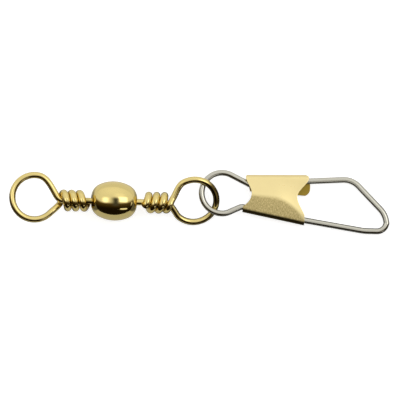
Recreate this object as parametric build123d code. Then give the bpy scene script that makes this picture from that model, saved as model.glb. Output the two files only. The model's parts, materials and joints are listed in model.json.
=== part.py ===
"""Snap swivel: a barrel swivel with two wrapped wire eyes, and a wire snap with a folded sheet sleeve.

Five pieces, as they would come apart on a bench:
  barrel       hollow olive-shaped brass shell with a hole in each end
  line_eye     one brass wire: upset head, shank, ring, and a tail wound back round the shank
  snap_eye     the same wire form, wound the other way, which carries the snap
  snap_wire    one spring-steel wire: short leg, small loop, long leg, nose and latch leg
  snap_sleeve  one folded brass sheet: crimped along the long leg, open hook over the latch leg

The swivel is drawn along X about its own axis, with the barrel's centre at the origin. The snap is
drawn flat in its own XY plane about the centre of its small loop. At the end both are laid on the
floor: the barrel, the ring of the snap eye, the sleeve and the nose of the wire touch it.
All sizes are in millimetres and all angles in degrees.
"""

import os
from math import cos, pi, radians, sin, sqrt, tan

from build123d import *

# ---------------------------------------------------------------- stock
BRASS_WIRE = 0.84
STEEL_WIRE = 0.77
SHEET = 0.25

# ---------------------------------------------------------------- barrel
BARREL_LENGTH = 5.92
BARREL_RADIUS = 2.59
BARREL_WALL = 0.45
END_WALL = 0.50
CROWN_RADIUS = 4.50         # the flat curve along the middle of the olive
CROWN_HALF = 1.95           # where the crown runs into the tighter shoulder
MOUTH_RADIUS = 0.92         # outside of the flat ring round each end hole
RUNNING_CLEARANCE = 0.22    # between shank and end hole, on the radius: a swaged shell is loose
SHELL_OFFSET = 0.09         # so it sits to one side of the shanks, and a little askew
SHELL_SKEW = 2.3

# ---------------------------------------------------------------- wrapped eyes
HEAD_RADIUS = 1.05          # the ball upset on the wire's end, inside the barrel
HEAD_FLAT = 0.80            # radius of the flat on the ball that bears on the end wall
HEAD_PLAY = 0.05            # between that flat and the end wall
COIL_PITCH = 1.05
COIL_RADIUS = 1.00          # centre of the wound wire from the axis
COIL_STEP = 1 / 8           # turn between two points where the arcs of a coil meet
SHANK_BEND = 1.2            # where the shank turns into the leg of the ring

# ---------------------------------------------------------------- snap wire, about its small loop
SMALL_LOOP = 2.68
SHORT_LEG_FALL = 27.3       # angle of the short leg where it leaves the small loop
LONG_LEG_RISE = 20.6        # angle of the long leg where it leaves the small loop
SHORT_LEG_TIP = (6.24, 1.60)
SHORT_LEG_BEND = (4.26, 0.83)
HEEL = (2.55, -1.79)
SLEEVE_EXIT = (10.85, -3.57)
TOE = (18.76, -4.96)
NOSE_LOW = (21.72, -5.02)
NOSE_HIGH = (21.72, -2.94)
SHOULDER = (17.19, 1.84)
LATCH_TIP = (7.69, 1.42)
SHORT_BEND_RADIUS = 1.2
HEEL_RADIUS = 1.0
EXIT_RADIUS = 20.0
TOE_RADIUS = 8.0
NOSE_RADIUS = 1.25
NOSE_SIDE_RADIUS = 3.0
SHOULDER_RADIUS = 2.7

# ---------------------------------------------------------------- folded sleeve, in the snap's plane
HOOK_INSIDE = 0.44          # inner radius of the open fold over the latch leg
CRIMP_INSIDE = 0.43         # inner radius of the closed fold round the long leg
HOOK_LINE = 1.73            # the open fold runs along X at this height
PANEL_RADIUS = 9.0          # gentle crown of the front panel between the folds
FLAP_EDGE_LEFT = 0.29       # lower edge of the hook's flap, behind, at each end of the sleeve
FLAP_EDGE_RIGHT = -0.34
CRIMP_LIP = 0.75            # height of the closed fold's lip above its wire
HOOK_LEFT, HOOK_RIGHT = 3.24, 11.36
CRIMP_LEFT, CRIMP_RIGHT = 2.84, 10.80
WAIST_LEFT = (3.87, -0.05)
WAIST_RIGHT = (9.88, -0.60)

# ---------------------------------------------------------------- how it lies
SWIVEL_PITCH = 6.78         # snap end down, about the barrel's contact with the floor
SNAP_EYE_ROLL = 20.10       # the ring leans over so that the two loops can pass through each other
SNAP_PLACE = (14.145, 1.475)
SNAP_TURN = 1.4
SNAP_PITCH = 2.89           # nose end down
SNAP_LEAN = 2.99            # hook side down


def unit(vector):
    return vector * (1 / vector.length)


def tangent_arc(start, leave, end):
    """The one arc that leaves start in a given direction, and its direction where it arrives."""
    chord = unit(end - start)
    if chord.cross(leave).length < 1e-7:
        return Edge.make_line(start, end), leave
    arrive = chord * (2 * leave.dot(chord)) - leave
    return Edge.make_tangent_arc(start, leave, end), arrive


def two_arcs(start, leave, end, arrive):
    """Two tangent arcs of equal reach that join two points, each with its own direction."""
    gap = end - start
    both = leave + arrive
    bend = 2 * (1 - leave.dot(arrive))
    if bend < 1e-9:
        reach = gap.dot(gap) / (4 * gap.dot(arrive))
    else:
        reach = (sqrt(gap.dot(both) ** 2 + bend * gap.dot(gap)) - gap.dot(both)) / bend
    middle = (start + end + (leave - arrive) * reach) * 0.5
    first, direction = tangent_arc(start, leave, middle)
    second, _ = tangent_arc(middle, direction, end)
    return [first, second]


def wire_along(edges, diameter):
    """Round wire swept along a chain of tangent lines and arcs."""
    path = Wire(edges)
    start = Plane(origin=path @ 0, z_dir=path % 0)
    return sweep(start * Circle(diameter / 2), path=path)


# ---------------------------------------------------------------- barrel

def barrel():
    """A turned and swaged shell: crown and shoulder arcs, and the same arcs one wall deeper inside."""
    half = BARREL_LENGTH / 2
    crown_centre = Vector(0, BARREL_RADIUS - CROWN_RADIUS)
    crown_end = Vector(CROWN_HALF, crown_centre.Y + sqrt(CROWN_RADIUS ** 2 - CROWN_HALF ** 2))
    outward = unit(crown_end - crown_centre)
    mouth = Vector(half, MOUTH_RADIUS)
    chord = mouth - crown_end
    shoulder_radius = chord.dot(chord) / (-2 * chord.dot(outward))
    shoulder_centre = crown_end - outward * shoulder_radius

    cavity_end = half - END_WALL
    inner_radius = shoulder_radius - BARREL_WALL
    inner_mouth_y = shoulder_centre.Y + sqrt(inner_radius ** 2 - (cavity_end - shoulder_centre.X) ** 2)
    inner_crown_end = crown_end - outward * BARREL_WALL
    hole = BRASS_WIRE / 2 + RUNNING_CLEARANCE

    def half_profile(sign):
        """The lines of one end; sign is 1 for the end towards +X and -1 for the other."""
        def at(x, y):
            return (sign * x, y)
        way = at(outward.Y, -outward.X)
        return [
            TangentArc(at(crown_end.X, crown_end.Y), at(half, MOUTH_RADIUS), tangent=way),
            TangentArc(at(inner_crown_end.X, inner_crown_end.Y), at(cavity_end, inner_mouth_y), tangent=way),
            Line(at(cavity_end, inner_mouth_y), at(cavity_end, hole)),
            Line(at(cavity_end, hole), at(half, hole)),
            Line(at(half, hole), at(half, MOUTH_RADIUS)),
        ]

    def crown(end, height):
        return ThreePointArc((-end.X, end.Y), (0, height), (end.X, end.Y))

    edges = [crown(crown_end, BARREL_RADIUS), crown(inner_crown_end, BARREL_RADIUS - BARREL_WALL)]
    edges += half_profile(1) + half_profile(-1)
    return revolve(make_face(Wire(edges)), Axis.X)


# ---------------------------------------------------------------- wrapped eyes

def coil_point(turn, start_x, lean, flare):
    """Centre of the wound wire, and its direction, a number of turns down the shank.

    The coil starts in front of the shank and goes over its top. Its turns lean on the shank by
    lean, which is how far back their tops sit. Past flare[0] turns the pitch opens at the rate
    flare[1], where the cut tail was left standing off.
    """
    angle = pi / 2 - 2 * pi * turn
    past = max(0.0, turn - flare[0])
    advance = COIL_PITCH * turn + flare[1] * past ** 2 + lean * cos(angle)
    point = Vector(start_x - advance, COIL_RADIUS * cos(angle), COIL_RADIUS * sin(angle))
    pace = COIL_PITCH + 2 * flare[1] * past + 2 * pi * lean * sin(angle)
    around = 2 * pi * COIL_RADIUS
    return point, unit(Vector(-pace, around * sin(angle), -around * cos(angle)))


def wire_eye(ring_centre, ring_radius, core_leaves, leg_foot, leg_slope, wrap_leaves, wrap_foot,
             wrap_slope, coil_x, turns, lean, flare):
    """One wire from its head in the barrel, out along the shank, round the ring and back as a coil.

    Drawn with the ring towards +X and the leg of the shank above the axis. core_leaves and
    wrap_leaves say where the two legs leave the ring, measured from its side towards the barrel.
    Each leg has a foot, the point where it comes down to the shank or starts to climb over it.
    """
    ring = Vector(*ring_centre)
    core, wrap = radians(core_leaves), radians(wrap_leaves)
    ring_in = ring + Vector(-cos(core), sin(core)) * ring_radius
    ring_out = ring + Vector(-cos(wrap), -sin(wrap)) * ring_radius
    ring_far = ring + Vector(ring_radius, 0)

    slope = radians(leg_slope)
    leg_way = Vector(cos(slope), sin(slope))
    foot = Vector(*leg_foot)
    corner = Vector(foot.X - foot.Y / tan(slope), 0)
    reach = SHANK_BEND * tan(slope / 2)
    bend_start = corner - Vector(reach, 0)
    bend_end = corner + leg_way * reach

    seat = BARREL_LENGTH / 2 - END_WALL - HEAD_PLAY
    head_centre = seat - sqrt(HEAD_RADIUS ** 2 - HEAD_FLAT ** 2)
    edges = [Edge.make_line(Vector(head_centre, 0), bend_start)]
    edges.append(tangent_arc(bend_start, Vector(1, 0), bend_end)[0])
    edges.append(Edge.make_line(bend_end, foot))
    edges += two_arcs(foot, leg_way, ring_in, Vector(sin(core), cos(core)))
    edges.append(Edge.make_three_point_arc(ring_in, ring_far, ring_out))

    climb = Vector(*wrap_foot)
    climb_way = unit(Vector(*wrap_slope))
    steps = round(turns / COIL_STEP)
    coil = [coil_point(turns * step / steps, coil_x, lean, flare) for step in range(steps + 1)]
    edges += two_arcs(ring_out, Vector(-sin(wrap), cos(wrap)), climb, climb_way)
    edges += two_arcs(climb, climb_way, *coil[0])
    for (here, way), (there, next_way) in zip(coil, coil[1:]):
        edges += two_arcs(here, way, there, next_way)

    ball = Pos(head_centre, 0, 0) * Sphere(HEAD_RADIUS)
    beyond_seat = Pos(seat + HEAD_RADIUS, 0, 0) * Box(2 * HEAD_RADIUS, 4 * HEAD_RADIUS, 4 * HEAD_RADIUS)
    return wire_along(edges, BRASS_WIRE) + (ball - beyond_seat)


def line_eye():
    """The eye for the line, turned round so that its ring points away from the snap."""
    eye = wire_eye(ring_centre=(10.50, 0.327), ring_radius=2.91, core_leaves=80, leg_foot=(7.86, 1.04),
                   leg_slope=59, wrap_leaves=46, wrap_foot=(7.40, -0.80, 0.45),
                   wrap_slope=(-0.70, 0.70, 0.30), coil_x=6.90, turns=2.95, lean=-0.04,
                   flare=(2.6, 2.8))
    return Rot(0, 180, 0) * eye


def snap_eye():
    """The eye for the snap, wound as the mirror image of the other and leaned over on its shank."""
    eye = wire_eye(ring_centre=(10.56, -0.385), ring_radius=2.96, core_leaves=50, leg_foot=(8.14, 1.19),
                   leg_slope=54, wrap_leaves=60, wrap_foot=(7.74, -0.86, 0.45),
                   wrap_slope=(-0.50, 0.87, 0.30), coil_x=7.28, turns=3.05, lean=0.13,
                   flare=(3.05, 0))
    return Rot(180 + SNAP_EYE_ROLL, 0, 0) * mirror(eye, about=Plane.XY)


# ---------------------------------------------------------------- snap wire

def on_small_loop(angle):
    return (SMALL_LOOP * cos(radians(angle)), SMALL_LOOP * sin(radians(angle)))


def snap_wire():
    """One steel wire, bent in a plane: short leg, small loop, long leg, nose, and the latch leg."""
    top = on_small_loop(90 - SHORT_LEG_FALL)
    low = on_small_loop(LONG_LEG_RISE - 90)
    short_leg = FilletPolyline(SHORT_LEG_TIP, SHORT_LEG_BEND, top, radius=SHORT_BEND_RADIUS)
    loop = ThreePointArc(top, on_small_loop(180), low)
    long_leg = FilletPolyline(
        low, HEEL, SLEEVE_EXIT, TOE, NOSE_LOW, NOSE_HIGH, SHOULDER, LATCH_TIP,
        radius=[HEEL_RADIUS, EXIT_RADIUS, TOE_RADIUS, NOSE_RADIUS, NOSE_SIDE_RADIUS, SHOULDER_RADIUS],
    )
    return wire_along([*short_leg.edges(), loop.edge(), *long_leg.edges()], STEEL_WIRE)


# ---------------------------------------------------------------- folded sleeve

def crimp_line(x):
    """Height of the closed fold's axis, which follows the long leg."""
    rise = (SLEEVE_EXIT[1] - HEEL[1]) / (SLEEVE_EXIT[0] - HEEL[0])
    return HEEL[1] + rise * (x - HEEL[0])


def flap_edge(x):
    share = (x - HOOK_LEFT) / (HOOK_RIGHT - HOOK_LEFT)
    return FLAP_EDGE_LEFT + (FLAP_EDGE_RIGHT - FLAP_EDGE_LEFT) * share


def sleeve_section(x):
    """The sheet cut across at x, looking along X: flap, open fold, crowned panel, closed fold, lip.

    The panel is one large arc that touches both folds, so its centre is found from their centres.
    """
    hook = Vector(HOOK_LINE, 0)
    crimp = Vector(crimp_line(x), 0)
    span = hook.X - crimp.X
    to_hook = PANEL_RADIUS - HOOK_INSIDE
    to_crimp = PANEL_RADIUS - CRIMP_INSIDE
    along = (span ** 2 + to_hook ** 2 - to_crimp ** 2) / (2 * span)
    panel = Vector(hook.X - along, -sqrt(to_hook ** 2 - along ** 2))

    def face_line(depth):
        """The run of one face of the sheet, depth away from the inner face."""
        hook_r, crimp_r, panel_r = (r + depth for r in (HOOK_INSIDE, CRIMP_INSIDE, PANEL_RADIUS))
        hook_end = hook + unit(hook - panel) * hook_r
        crimp_end = crimp + unit(crimp - panel) * crimp_r
        points = [
            Vector(flap_edge(x), -hook_r), Vector(hook.X, -hook_r), hook + Vector(hook_r, 0), hook_end,
            panel + Vector(0, panel_r), crimp_end, crimp - Vector(crimp_r, 0), Vector(crimp.X, -crimp_r),
            Vector(crimp.X + CRIMP_LIP, -crimp_r),
        ]
        return [Vector(x, point.X, point.Y) for point in points]

    inner, outer = face_line(0), face_line(SHEET)
    edges = []
    for p in (inner, outer):
        edges.append(Edge.make_line(p[0], p[1]))
        edges.append(Edge.make_three_point_arc(p[1], p[2], p[3]))
        edges.append(Edge.make_three_point_arc(p[3], p[4], p[5]))
        edges.append(Edge.make_three_point_arc(p[5], p[6], p[7]))
        edges.append(Edge.make_line(p[7], p[8]))
    edges.append(Edge.make_line(inner[0], outer[0]))
    edges.append(Edge.make_line(inner[8], outer[8]))
    return Face(Wire(edges))


def end_cutter(edge_curve, far_x, depth):
    """Everything outside one end of the sleeve, in front of the wires or behind them."""
    top, low = edge_curve @ 0, edge_curve @ 1
    outline = [
        *edge_curve.edges(),
        Line(low, (far_x, low.Y)).edge(),
        Line((far_x, low.Y), (far_x, top.Y)).edge(),
        Line((far_x, top.Y), top).edge(),
    ]
    return extrude(make_face(Wire(outline)), amount=depth)


def snap_sleeve():
    """Folded from one blank: the panel's ends are cut hollow, the hook's flap ends are full."""
    sheet = loft([sleeve_section(HOOK_LEFT - 1.5), sleeve_section(HOOK_RIGHT + 1.5)], ruled=True)
    above, below = HOOK_LINE + 1.5, crimp_line(HOOK_RIGHT) - 1.5
    hook_top = HOOK_LINE + HOOK_INSIDE + SHEET
    front_left = Spline((HOOK_LEFT, hook_top), WAIST_LEFT, (CRIMP_LEFT, crimp_line(CRIMP_LEFT) + 0.1),
                        tangents=[(0.45, -1), (-1, -0.55)])
    front_left = Wire([Line((HOOK_LEFT, above), (HOOK_LEFT, hook_top)).edge(), front_left.edge(),
                       Line((CRIMP_LEFT, crimp_line(CRIMP_LEFT) + 0.1), (CRIMP_LEFT, below)).edge()])
    front_right = Spline((HOOK_RIGHT, hook_top - 0.2), WAIST_RIGHT,
                         (CRIMP_RIGHT, crimp_line(CRIMP_RIGHT) + 0.6), tangents=[(-0.6, -1), (0.35, -1)])
    front_right = Wire([Line((HOOK_RIGHT, above), (HOOK_RIGHT, hook_top - 0.2)).edge(), front_right.edge(),
                        Line((CRIMP_RIGHT, crimp_line(CRIMP_RIGHT) + 0.6), (CRIMP_RIGHT, below)).edge()])
    back_left = FilletPolyline((HOOK_LEFT, above), (HOOK_LEFT, hook_top), (HOOK_LEFT + 0.5, 0.0),
                               (CRIMP_LEFT, -1.0), (CRIMP_LEFT, below), radius=0.2)
    back_right = FilletPolyline((HOOK_RIGHT, above), (HOOK_RIGHT, hook_top - 0.2), (HOOK_RIGHT + 0.30, 1.1),
                                (HOOK_RIGHT - 0.05, -0.33), (CRIMP_RIGHT, -0.7), (CRIMP_RIGHT, below),
                                radius=[0.3, 0.9, 0.7, 0.1])
    sheet -= end_cutter(front_left, 0, 3) + end_cutter(front_right, 15, 3)
    sheet -= end_cutter(back_left, 0, -3) + end_cutter(back_right, 15, -3)
    return sheet


# ---------------------------------------------------------------- laid on the floor

def lowest(piece):
    return piece.bounding_box().min.Z


def laid_out():
    """Every piece where it lies, with the middle of the whole at X = Y = 0 and the floor at Z = 0."""
    tilt = Rot(0, SWIVEL_PITCH, 0)
    shell = tilt * Pos(0, SHELL_OFFSET, 0) * Rot(0, 0, -SHELL_SKEW) * barrel()
    lift = Pos(0, 0, -lowest(shell))
    pieces = {
        "barrel": lift * shell,
        "line_eye": lift * tilt * line_eye(),
        "snap_eye": lift * tilt * snap_eye(),
    }
    normal = Vector(tan(radians(SNAP_PITCH)), tan(radians(SNAP_LEAN)), 1)
    along = Vector(cos(radians(SNAP_TURN)), sin(radians(SNAP_TURN)), 0)
    snap_plane = Plane(origin=(*SNAP_PLACE, 0), x_dir=along, z_dir=normal).location
    wire = snap_plane * snap_wire()
    sleeve = snap_plane * snap_sleeve()
    drop = Pos(0, 0, -min(lowest(wire), lowest(sleeve)))
    pieces["snap_wire"] = drop * wire
    pieces["snap_sleeve"] = drop * sleeve

    boxes = [piece.bounding_box() for piece in pieces.values()]
    middle_x = (min(box.min.X for box in boxes) + max(box.max.X for box in boxes)) / 2
    middle_y = (min(box.min.Y for box in boxes) + max(box.max.Y for box in boxes)) / 2
    centre = Pos(-middle_x, -middle_y, -min(box.min.Z for box in boxes))
    return {name: centre * piece for name, piece in pieces.items()}


if __name__ == "__main__":
    os.makedirs("parts", exist_ok=True)
    for name, piece in laid_out().items():
        export_step(piece, f"parts/{name}.step")
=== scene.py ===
# %% [markdown]
# # A snap swivel
# A snap swivel is a few centimetres of bent wire and a turned shell, so everything about its look
# is metal: how smooth each wire is, how the shell was polished, how the sheet was rolled. This
# lesson rebuilds its five pieces as smooth meshes around the measured model, and gives each metal
# its own finish. The measured model is loaded first. It fixes every place and size below.

# %% Load the measured model
import json
from math import atan2, cos, pi, radians, sin, sqrt, tan

import bpy
from mathutils import Matrix, Vector


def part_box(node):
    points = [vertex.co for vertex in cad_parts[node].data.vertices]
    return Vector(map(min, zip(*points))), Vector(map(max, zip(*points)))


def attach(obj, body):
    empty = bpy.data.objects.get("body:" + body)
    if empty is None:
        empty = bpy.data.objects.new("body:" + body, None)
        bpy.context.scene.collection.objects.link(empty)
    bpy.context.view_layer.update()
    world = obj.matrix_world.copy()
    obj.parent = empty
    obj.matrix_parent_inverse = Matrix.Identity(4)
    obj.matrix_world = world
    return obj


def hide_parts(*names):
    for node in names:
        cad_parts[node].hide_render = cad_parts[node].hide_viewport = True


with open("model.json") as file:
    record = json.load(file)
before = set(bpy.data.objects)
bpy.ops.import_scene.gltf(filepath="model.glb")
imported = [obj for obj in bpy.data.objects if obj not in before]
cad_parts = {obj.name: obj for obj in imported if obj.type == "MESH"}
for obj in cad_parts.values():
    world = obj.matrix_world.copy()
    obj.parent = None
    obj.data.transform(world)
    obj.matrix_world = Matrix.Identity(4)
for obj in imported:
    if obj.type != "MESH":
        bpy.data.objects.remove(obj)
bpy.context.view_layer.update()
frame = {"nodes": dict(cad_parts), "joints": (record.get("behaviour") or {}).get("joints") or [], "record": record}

joints = {joint["name"]: joint for joint in frame["joints"]}
mounts = {mount["name"]: mount for mount in frame["record"]["mounts"]}
print("nodes:", sorted(frame["nodes"]))
print("joints:", sorted(joints))

# %% [markdown]
# ## Working in millimetres, along the piece's own axes
# The swivel lies tipped and the snap leans, so no piece runs along the world's axes. Each one is
# drawn flat, in millimetres, about an axis of its own, and a matrix lays the finished mesh in
# place. The matrices come from the model: the swivel's axis and centre are those of the joint
# that spins the eye, and the normals are those of the ring and of the snap's loop.

# %% Where each piece is drawn
MM = 0.001


def laid_along(origin, along, normal):
    """A matrix from millimetres in a piece's own axes to metres in the model."""
    x = Vector(along).normalized()
    z = Vector(normal).normalized()
    y = z.cross(x)
    x = y.cross(z)
    turn = Matrix((x, y, z)).transposed().to_4x4()
    return Matrix.Translation(Vector(origin)) @ turn @ Matrix.Scale(MM, 4)


swivel_centre = joints["snap_eye_spin"]["pos_m"]
swivel_axis = joints["snap_eye_spin"]["axis"]
SNAP_TURN = radians(1.4)  # the snap's fold runs this far off the model's X
snap_along = (cos(SNAP_TURN), sin(SNAP_TURN), 0)

lay_swivel = laid_along(swivel_centre, swivel_axis, mounts["line_ring"]["axis"])
lay_snap_eye = laid_along(swivel_centre, swivel_axis, joints["snap_swing"]["axis"])
lay_snap = laid_along((0, 0, 0), snap_along, mounts["lure_loop"]["axis"])
print("swivel centre (mm):", [round(value / MM, 2) for value in swivel_centre])

# %% [markdown]
# ## Small helpers for node trees
# The look of a metal is a chain of small sums, and so is the thickness of a wire. With a few
# helpers they can be written as such. Each adds one node, feeds it with numbers or with the
# outputs of other nodes, and gives back its own output.

# %% Helpers for nodes
def feed(tree, socket, value):
    """Links an output to a socket, or sets the socket to a number, a vector or a plain colour."""
    if isinstance(value, bpy.types.NodeSocket):
        tree.links.new(value, socket)
    elif socket.type == "RGBA":
        socket.default_value = (*value, 1)
    else:
        socket.default_value = value


def fed(tree, kind, output, inputs=(), **settings):
    """Adds a node with its settings, feeds its inputs, and gives back one of its outputs."""
    node = tree.nodes.new(kind)
    for name, value in settings.items():
        setattr(node, name, value)
    for label, value in dict(inputs).items():
        feed(tree, node.inputs[label], value)
    return node.outputs[output]


def math_node(tree, operation, *values):
    """A Math node whose inputs are numbers or sockets."""
    return fed(tree, "ShaderNodeMath", "Value", enumerate(values), operation=operation)


def vector_node(tree, operation, *values):
    """A Vector Math node; a dot product or a distance comes out as a number."""
    output = "Value" if operation in ("DOT_PRODUCT", "DISTANCE") else "Vector"
    return fed(tree, "ShaderNodeVectorMath", output, enumerate(values), operation=operation)


def clamped(tree, value):
    """A value held between 0 and 1."""
    return math_node(tree, "MINIMUM", math_node(tree, "MAXIMUM", value, 0.0), 1.0)


def ramp(tree, value, low, high, to_low, to_high, kind="SMOOTHSTEP"):
    """Goes from to_low to to_high while a value goes from low to high; level outside."""
    inputs = {"Value": value, "From Min": low, "From Max": high, "To Min": to_low, "To Max": to_high}
    return fed(tree, "ShaderNodeMapRange", "Result", inputs, interpolation_type=kind)


def noise_node(tree, place, scale, detail, roughness=0.5):
    """The level of a noise texture at a place."""
    inputs = {"Vector": place, "Scale": scale, "Detail": detail, "Roughness": roughness}
    return fed(tree, "ShaderNodeTexNoise", "Fac", inputs)


def mix_node(tree, factor, low, high):
    """A mix of two colours."""
    inputs = {"Factor": factor, "A": low, "B": high}
    return fed(tree, "ShaderNodeMix", "Result", inputs, data_type="RGBA")


print("helpers:", [helper.__name__ for helper in (math_node, vector_node, ramp, noise_node, mix_node)])

# %% [markdown]
# ## One shader group for the grain of drawn wire
# Wire is pulled through a die, which leaves faint lines along it. On a bent wire those lines
# follow the bend, so the pattern needs coordinates that follow it too. The wire's mesh will carry
# an attribute named "straight": where each point would be if the wire were straight again. The
# group stretches noise along that direction, and gives both a mask and a bumped normal.

# %% Group: drawn grain
GRAIN_RELIEF = 1e-6  # metres of relief where the depth is 1


def new_tree(kind, name, inputs, outputs):
    """An empty node tree with named sockets, and its own sockets that give and take them."""
    tree = bpy.data.node_groups.new(name, kind)
    for label, socket_kind, value in inputs:
        socket = tree.interface.new_socket(
            label, in_out="INPUT", socket_type="NodeSocket" + socket_kind)
        if value is not None:
            socket.default_value = value
    for label, socket_kind in outputs:
        tree.interface.new_socket(label, in_out="OUTPUT", socket_type="NodeSocket" + socket_kind)
    given, result = tree.nodes.new("NodeGroupInput"), tree.nodes.new("NodeGroupOutput")
    return tree, given.outputs, result.inputs


def grain_group():
    """Fine lines along a given direction, as a mask and as a normal."""
    tree, given, result = new_tree(
        "ShaderNodeTree", "grain",
        [("Coordinates", "Vector", (0, 0, 0)), ("Stretch", "Vector", (1, 1, 1)),
         ("Depth", "Float", 1.0)],
        [("Mask", "Float"), ("Normal", "Vector")],
    )
    stretched = vector_node(tree, "MULTIPLY", given["Coordinates"], given["Stretch"])
    mask = noise_node(tree, stretched, scale=1.0, detail=4.0, roughness=0.65)
    relief = math_node(tree, "MULTIPLY", mask, given["Depth"])
    bump = {"Strength": 1.0, "Distance": GRAIN_RELIEF, "Height": relief}
    feed(tree, result["Mask"], mask)
    feed(tree, result["Normal"], fed(tree, "ShaderNodeBump", "Normal", bump))
    return tree


grain = grain_group()
print("group:", grain.name, [item.name for item in grain.interface.items_tree])

# %% [markdown]
# ## One shader group for handling
# Bright metal that has been in a box and between fingers is never even: it is a little duller
# here and browner there. The group mixes the clean colour towards a tarnish by a slow noise, and
# adds a second, finer noise to the roughness.

# %% Group: handled surface
FINE_SCALE = 6000.0  # of the finer noise, per metre


def handled_group():
    """A colour between clean and tarnished, and an uneven roughness."""
    tree, given, result = new_tree(
        "ShaderNodeTree", "handled",
        [("Clean", "Color", (1, 1, 1, 1)), ("Tarnish", "Color", (0.5, 0.4, 0.3, 1)),
         ("Amount", "Float", 0.2), ("Roughness", "Float", 0.2), ("Spread", "Float", 0.05),
         ("Patch Scale", "Float", 900.0)],
        [("Color", "Color"), ("Roughness", "Float")],
    )
    place = fed(tree, "ShaderNodeTexCoord", "Object")
    slow = noise_node(tree, place, given["Patch Scale"], detail=3.0)
    fine = noise_node(tree, place, FINE_SCALE, detail=2.0)
    share = math_node(tree, "MULTIPLY", slow, given["Amount"])
    feed(tree, result["Color"], mix_node(tree, share, given["Clean"], given["Tarnish"]))
    offset = math_node(tree, "SUBTRACT", math_node(tree, "ADD", slow, fine), 1.0)
    uneven = math_node(tree, "MULTIPLY", offset, given["Spread"])
    feed(tree, result["Roughness"], math_node(tree, "ADD", uneven, given["Roughness"]))
    return tree


handled = handled_group()
print("group:", handled.name)

# %% [markdown]
# ## The metals
# The shell is turned and polished, the eyes are bright drawn brass wire, the sleeve is rolled
# brass sheet, and the snap is bright spring steel. The sheet has two more colours: its sheared
# edges are paler, part fresh metal and part a painted highlight, and its inside is a dark brown
# that is painted shade. All share the two groups, with their own values. Metallic stays a plain
# number on the shader's own socket.

# %% Materials
def new_material(name):
    """A material, its node tree, and the inputs of its shader."""
    material = bpy.data.materials.new(name)
    material.use_nodes = True
    return material, material.node_tree, material.node_tree.nodes["Principled BSDF"].inputs


def metal(name, clean, tarnish, amount, roughness, spread, stretch, depth):
    """A metal whose grain follows the mesh's own "straight" attribute."""
    material, tree, shader = new_material(name)
    shader["Metallic"].default_value = 1.0
    skin = {"Clean": clean, "Tarnish": tarnish, "Amount": amount, "Roughness": roughness,
            "Spread": spread}
    colour = fed(tree, "ShaderNodeGroup", "Color", skin, node_tree=handled)
    feed(tree, shader["Base Color"], colour)
    feed(tree, shader["Roughness"], colour.node.outputs["Roughness"])
    straight = fed(tree, "ShaderNodeAttribute", "Vector", attribute_name="straight")
    lines = {"Coordinates": straight, "Stretch": stretch, "Depth": depth}
    feed(tree, shader["Normal"], fed(tree, "ShaderNodeGroup", "Normal", lines, node_tree=grain))
    return material


BRASS, STEEL = (0.84, 0.68, 0.27), (0.62, 0.60, 0.51)
BROWN_BRASS, BROWN_STEEL = (0.42, 0.29, 0.08), (0.30, 0.26, 0.20)
ALONG_WIRE, ROUND_SHELL, ALONG_SHEET = (9, 9, 0.4), (30, 0.3, 0.3), (0.5, 9, 1)
shell_brass = metal("polished_shell_brass", BRASS, BROWN_BRASS, amount=0.10, roughness=0.09,
                    spread=0.04, stretch=ROUND_SHELL, depth=0.4)
wire_brass = metal("drawn_wire_brass", BRASS, BROWN_BRASS, amount=0.14, roughness=0.11,
                   spread=0.05, stretch=ALONG_WIRE, depth=1.2)
spring_steel = metal("bright_spring_steel", STEEL, BROWN_STEEL, amount=0.12, roughness=0.14,
                     spread=0.05, stretch=ALONG_WIRE, depth=1.2)
sheet_brass = metal("rolled_sheet_brass", (0.95, 0.79, 0.39), BROWN_BRASS, amount=0.12,
                    roughness=0.30, spread=0.08, stretch=ALONG_SHEET, depth=3.0)
# paler sheared edges: part fresh metal, part a painted highlight
cut_brass_and_highlight = metal("sheared_edge_brass_and_highlight", (0.99, 0.90, 0.62), BROWN_BRASS, amount=0.06,
                  roughness=0.26, spread=0.06, stretch=(3, 3, 3), depth=1.0)
# a dark brown of painted shade, for the inside of the sheet and all of its flap
shaded_inside = metal("inside_of_sheet_painted_shade", (0.36, 0.25, 0.04), (0.16, 0.10, 0.02), amount=0.30,
                     roughness=0.36, spread=0.08, stretch=ALONG_SHEET, depth=3.0)
print("metals:", [material.name for material in bpy.data.materials])

# %% [markdown]
# ## The shaded half of the sheet
# The lower half of the sleeve's panel is darker and mottled. The darkening is painted shade, for
# the half that tilts away from the cloth; the mottle and a little more roughness are the sheet's
# own. Along the outside of the closed fold a near-black brown is painted shade too. The sheet's
# mesh will carry a mask for both, named "painted_shade": it goes up to 1 on the shaded half and
# on to 2 in the fold. A noise gives the mottling, and frays the mask where it passes from one half
# to the other.

# %% Painted shade on the half and the fold
MOTTLE_SCALE = 6.0  # per millimetre of the flat sheet
MOTTLE_STRETCH = (1.5, 0.6, 1.0)
FRAY = 0.7  # how far the mottling moves the edge of the dull half


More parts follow.
